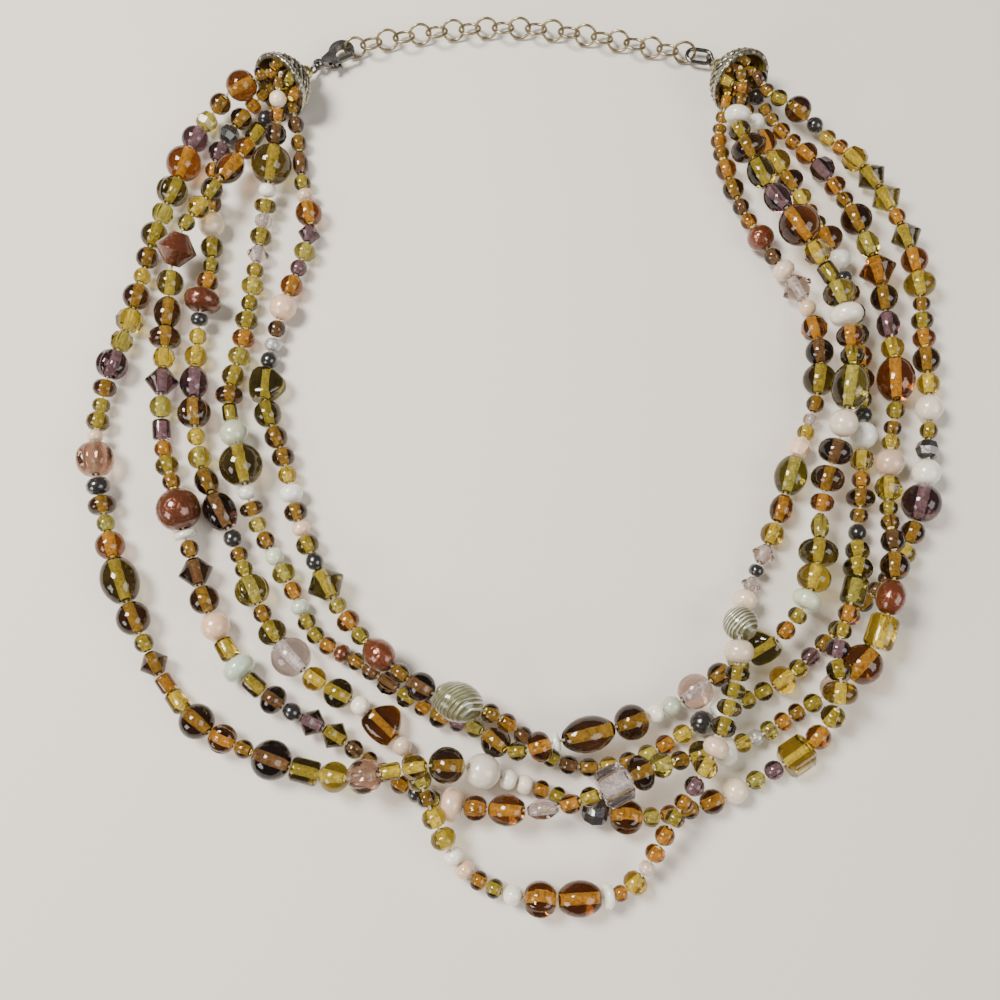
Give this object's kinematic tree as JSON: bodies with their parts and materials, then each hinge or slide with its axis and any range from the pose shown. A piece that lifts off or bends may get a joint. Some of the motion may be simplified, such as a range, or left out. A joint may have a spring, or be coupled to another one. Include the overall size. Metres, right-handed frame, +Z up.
{
  "type": "multi strand necklace",
  "caption": "Multi strand necklace of mixed glass beads in ambers, browns, purples and milky whites, with antiqued end cones, a lobster clasp and an extender chain, lying closed.",
  "frame": {"origin": "on the surface that it lies on, under the middle of its outer box", "axes": "+Z up from the surface, +Y towards the clasp and chain at the back of the neck, +X to the wearer's side with the jump ring"},
  "size_m": [0.1742, 0.1895, 0.0139],
  "materials": {
    "bead_glass": "glossy",
    "amber_glass": "glossy",
    "milk_glass": "glossy",
    "opaque_glass": "glossy",
    "foil_glass": "glossy",
    "thread": "matte",
    "antique_silver": "antiqued",
    "antique_gold": "polished",
    "pale_brass": "antiqued",
    "dark_steel": "polished"
  },
  "bodies": {
    "necklace": {"strand_1": "bead_glass", "strand_2": "bead_glass", "strand_3": "bead_glass", "strand_4": "bead_glass", "strand_5": "bead_glass", "thread_1": "thread", "thread_2": "thread", "thread_3": "thread", "thread_4": "thread", "thread_5": "thread", "cone_left": "antique_silver", "cone_right": "antique_silver", "cap_bead_left": "antique_gold", "cap_bead_right": "antique_gold", "eye_pin_left": "dark_steel", "eye_pin_right": "dark_steel", "clasp_body": "dark_steel", "chain": "pale_brass", "jump_ring": "dark_steel"},
    "lever": {"clasp_lever": "dark_steel"}
  },
  "joints": [
    {"name": "lever_hinge", "type": "hinge", "parent": "necklace", "child": "lever", "pos_m": [-0.03937, 0.08368, 0.00212], "axis": [-0.047, -0.0229, 0.9986], "range_deg": [0, 15], "stiffness_Nm_per_rad": 0.002}
  ]
}
